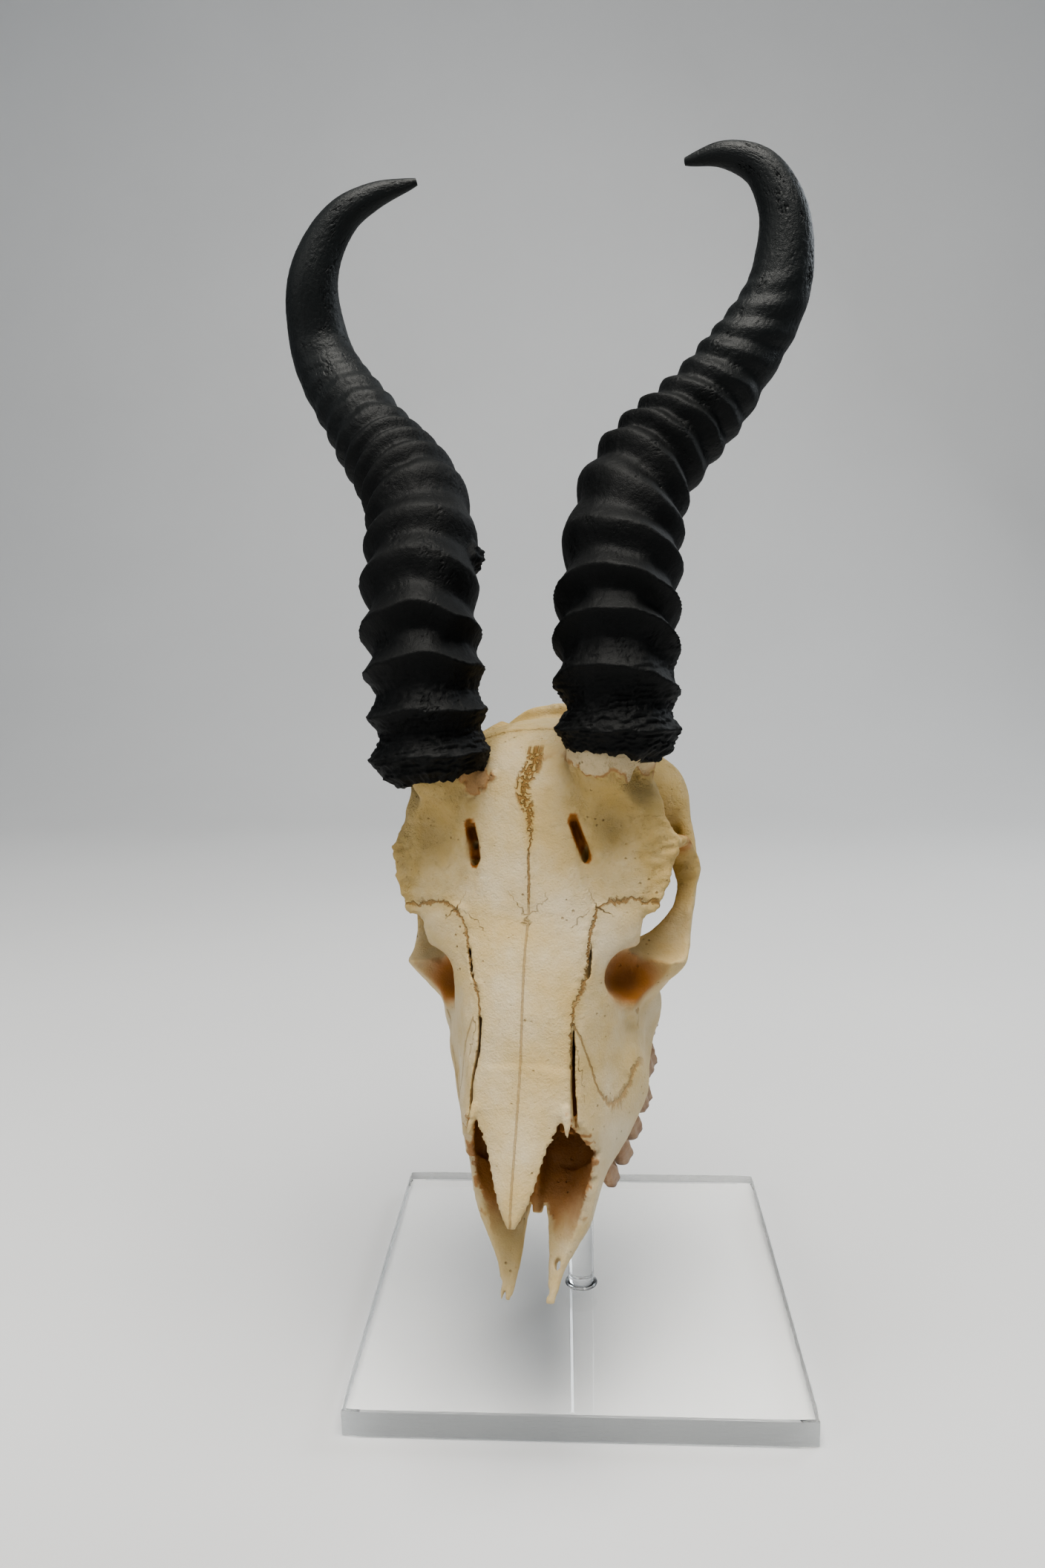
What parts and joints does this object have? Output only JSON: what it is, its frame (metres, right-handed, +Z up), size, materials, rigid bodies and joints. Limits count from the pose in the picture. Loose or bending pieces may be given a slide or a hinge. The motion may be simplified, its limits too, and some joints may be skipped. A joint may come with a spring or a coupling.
{
  "type": "springbok skull on stand",
  "caption": "Antelope skull with ringed, inward-hooked horn sheaths and cheek teeth, held nose-down by an upright rod on a square clear plate; a display specimen.",
  "frame": {"origin": "centre of the plate's underside, on the table", "axes": "+Z up; +X to the right as seen from in front of the muzzle; -Y is the side that the muzzle faces, with the skull turned about 12 degrees from it"},
  "size_m": [0.1812, 0.1775, 0.4109],
  "materials": {
    "bone": "dry cream bone, satin on the frontals, chalky and pitted at the sutures",
    "horn": "near-black keratin, semi-gloss, cracked lengthwise between the rings",
    "tooth": "stained enamel and dentine",
    "acrylic": "clear cast acrylic, polished faces, satin sawn edges"
  },
  "bodies": {
    "root": {"skull": "bone", "left_horn_sheath": "horn", "right_horn_sheath": "horn", "left_premolar_2": "tooth", "left_premolar_3": "tooth", "left_premolar_4": "tooth", "left_molar_1": "tooth", "left_molar_2": "tooth", "left_molar_3": "tooth", "right_premolar_2": "tooth", "right_premolar_3": "tooth", "right_premolar_4": "tooth", "right_molar_1": "tooth", "right_molar_2": "tooth", "right_molar_3": "tooth", "base_plate": "acrylic", "rod": "acrylic"}
  },
  "joints": []
}
